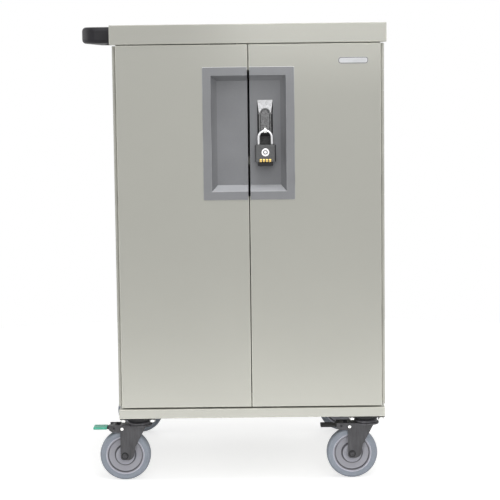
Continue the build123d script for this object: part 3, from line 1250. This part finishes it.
def wheel_tyre():
    """Rubber tyre with rounded tread shoulders, seated on the rim."""
    half = WHEEL_WIDTH / 2
    outline = Pos((TYRE_BORE + WHEEL_RADIUS) / 2, half / 2) * Rectangle(WHEEL_RADIUS - TYRE_BORE, half)
    shoulder = outline.vertices().group_by(Axis.Y)[-1].sort_by(Axis.X)
    outline = fillet(shoulder[-1], TREAD_ROUND)
    lip = outline.vertices().group_by(Axis.Y)[-1].sort_by(Axis.X)[0]
    return turned_about_axle(chamfer(lip, TYRE_SHOULDER))


def brake_pedal():
    """Brake lever with its shoe and trunnions, and the foot pad pushed on its tongue."""
    wheel_dx = PEDAL_PIVOT_OUT
    wheel_dz = WHEEL_RADIUS - PEDAL_PIVOT_Z
    reach = sqrt(wheel_dx ** 2 + wheel_dz ** 2)
    shoe_reach = reach - WHEEL_RADIUS - PEDAL_SHOE_GAP - PEDAL_SHOE_RADIUS
    swing = radians(PEDAL_SWING)
    shoe_x = (wheel_dx * cos(swing) + wheel_dz * sin(swing)) / reach * shoe_reach
    shoe_z = (wheel_dz * cos(swing) - wheel_dx * sin(swing)) / reach * shoe_reach
    tongue_z = span(-PEDAL_TONGUE_DROP, PEDAL_TONGUE_THICKNESS)
    side = Plane((PEDAL_PIVOT_X, 0, PEDAL_PIVOT_Z), (1, 0, 0), (0, -1, 0))
    neck = make_face(
        Polyline(
            (0, -PEDAL_HUB_RADIUS),
            (0, PEDAL_HUB_RADIUS),
            (-PAD_START, tongue_z[1]),
            (-PAD_START, tongue_z[0]),
            close=True,
        )
    )
    profile = Circle(PEDAL_HUB_RADIUS) + Pos(shoe_x, shoe_z) * Circle(PEDAL_SHOE_RADIUS) + neck
    lever = extrude(side * profile, PEDAL_WIDTH / 2, both=True)
    tongue_x = (PEDAL_PIVOT_X - PEDAL_TONGUE_REACH, PEDAL_PIVOT_X - PAD_START)
    tongue_y = span(0, PEDAL_WIDTH - 4 * PAD_EDGE)
    tongue_height = (PEDAL_PIVOT_Z + tongue_z[0], PEDAL_PIVOT_Z + tongue_z[1])
    tongue = block(tongue_x, tongue_y, tongue_height)
    pin_y = span(0, 2 * (LEG_Y + LEG_THICKNESS))
    lever += tongue + rod_y(PEDAL_PIVOT_X, pin_y, PEDAL_PIVOT_Z, PEDAL_PIN_RADIUS)
    pad_x = (PEDAL_PIVOT_X - PAD_REACH, PEDAL_PIVOT_X - PAD_START)
    pad_mid_z = (tongue_height[0] + tongue_height[1]) / 2
    pad = block(pad_x, span(0, PAD_WIDTH), span(pad_mid_z, PAD_THICKNESS))
    pad = fillet(pad.edges(), PAD_EDGE)
    for rib in range(PAD_RIBS):
        groove_x = pad_x[0] + (rib + 1) * (pad_x[1] - pad_x[0]) / (PAD_RIBS + 1)
        groove_z = (pad_mid_z + PAD_THICKNESS / 2 - PAD_RIB_DEPTH, pad_mid_z + PAD_THICKNESS)
        pad -= block(span(groove_x, PAD_RIB_WIDTH), span(0, PAD_WIDTH - 4 * PAD_EDGE), groove_z)
    return Compound(children=[lever, pad - tongue])


def cart_pieces():
    """Every piece of the cart by its node name, in the cabinet's own frame."""
    pieces = {
        "base_pan": base_pan(),
        "side_panel_left": left_side_panel(),
        "side_panel_right": right_side_panel(),
        "header_rails": header_rails(),
        "top_cap": top_cap(),
        "push_handle": push_handle(),
        "handle_bolts": handle_bolts(),
        "shelves": shelves(),
        "bay_dividers": bay_dividers(),
        "bay_back_panel": bay_back_panel(),
        "power_strips": power_strips(),
        "power_inlet": power_inlet(),
        "power_switch": power_switch(),
        "hinge_frame_leaves": hinge_frame_leaves(),
        "hinge_pins": hinge_pins(),
        "latch_keepers": latch_keepers(),
        "door_catches": door_catches(),
        "left_door": front_door(-1),
        "left_hinge_leaf": hinge_leaf(-HINGE_X, HINGE_Y, -1, 1),
        "left_pull_pocket": pull_pocket(-1),
        "right_door": front_door(1),
        "right_hinge_leaf": hinge_leaf(HINGE_X, HINGE_Y, -1, 1),
        "right_pull_pocket": right_pull_pocket(),
        "latch_housing": latch_housing(),
        "latch_pivot_pin": latch_pivot_pin(),
        "latch_lever": latch_lever(),
        "latch_rocker": latch_rocker(),
        "latch_rod_upper": latch_rod_upper(),
        "latch_rod_lower": latch_rod_lower(),
        "rod_guides": rod_guides(),
        "padlock_shackle": padlock_shackle(),
        "padlock_body": padlock_body(),
        "padlock_bumper": padlock_bumper(),
        "rear_door": rear_door(),
        "rear_hinge_leaf": hinge_leaf(-HINGE_X, -HINGE_Y, 1, 1),
        "rear_lock": rear_lock(),
        "caster_plates": caster_plates(),
        "caster_plate_bolts": caster_plate_bolts(),
    }
    for index in range(DIAL_COUNT):
        pieces[f"padlock_dial_{index + 1}"] = padlock_dial(index)
    for place, (x, y) in caster_places().items():
        braked = place.startswith("front")
        pieces[f"caster_fork_{place}"] = Pos(x, y) * caster_fork(braked)
        pieces[f"caster_axle_{place}"] = Pos(x, y) * caster_axle()
        pieces[f"wheel_core_{place}"] = Pos(x, y) * wheel_core()
        pieces[f"wheel_tyre_{place}"] = Pos(x, y) * wheel_tyre()
        if braked:
            pieces[f"brake_pedal_{place}"] = Pos(x, y) * brake_pedal()
    return pieces


os.makedirs("parts", exist_ok=True)
for name, piece in cart_pieces().items():
    export_step(Pos(CENTRE_SHIFT, 0, 0) * piece, f"parts/{name}.step")
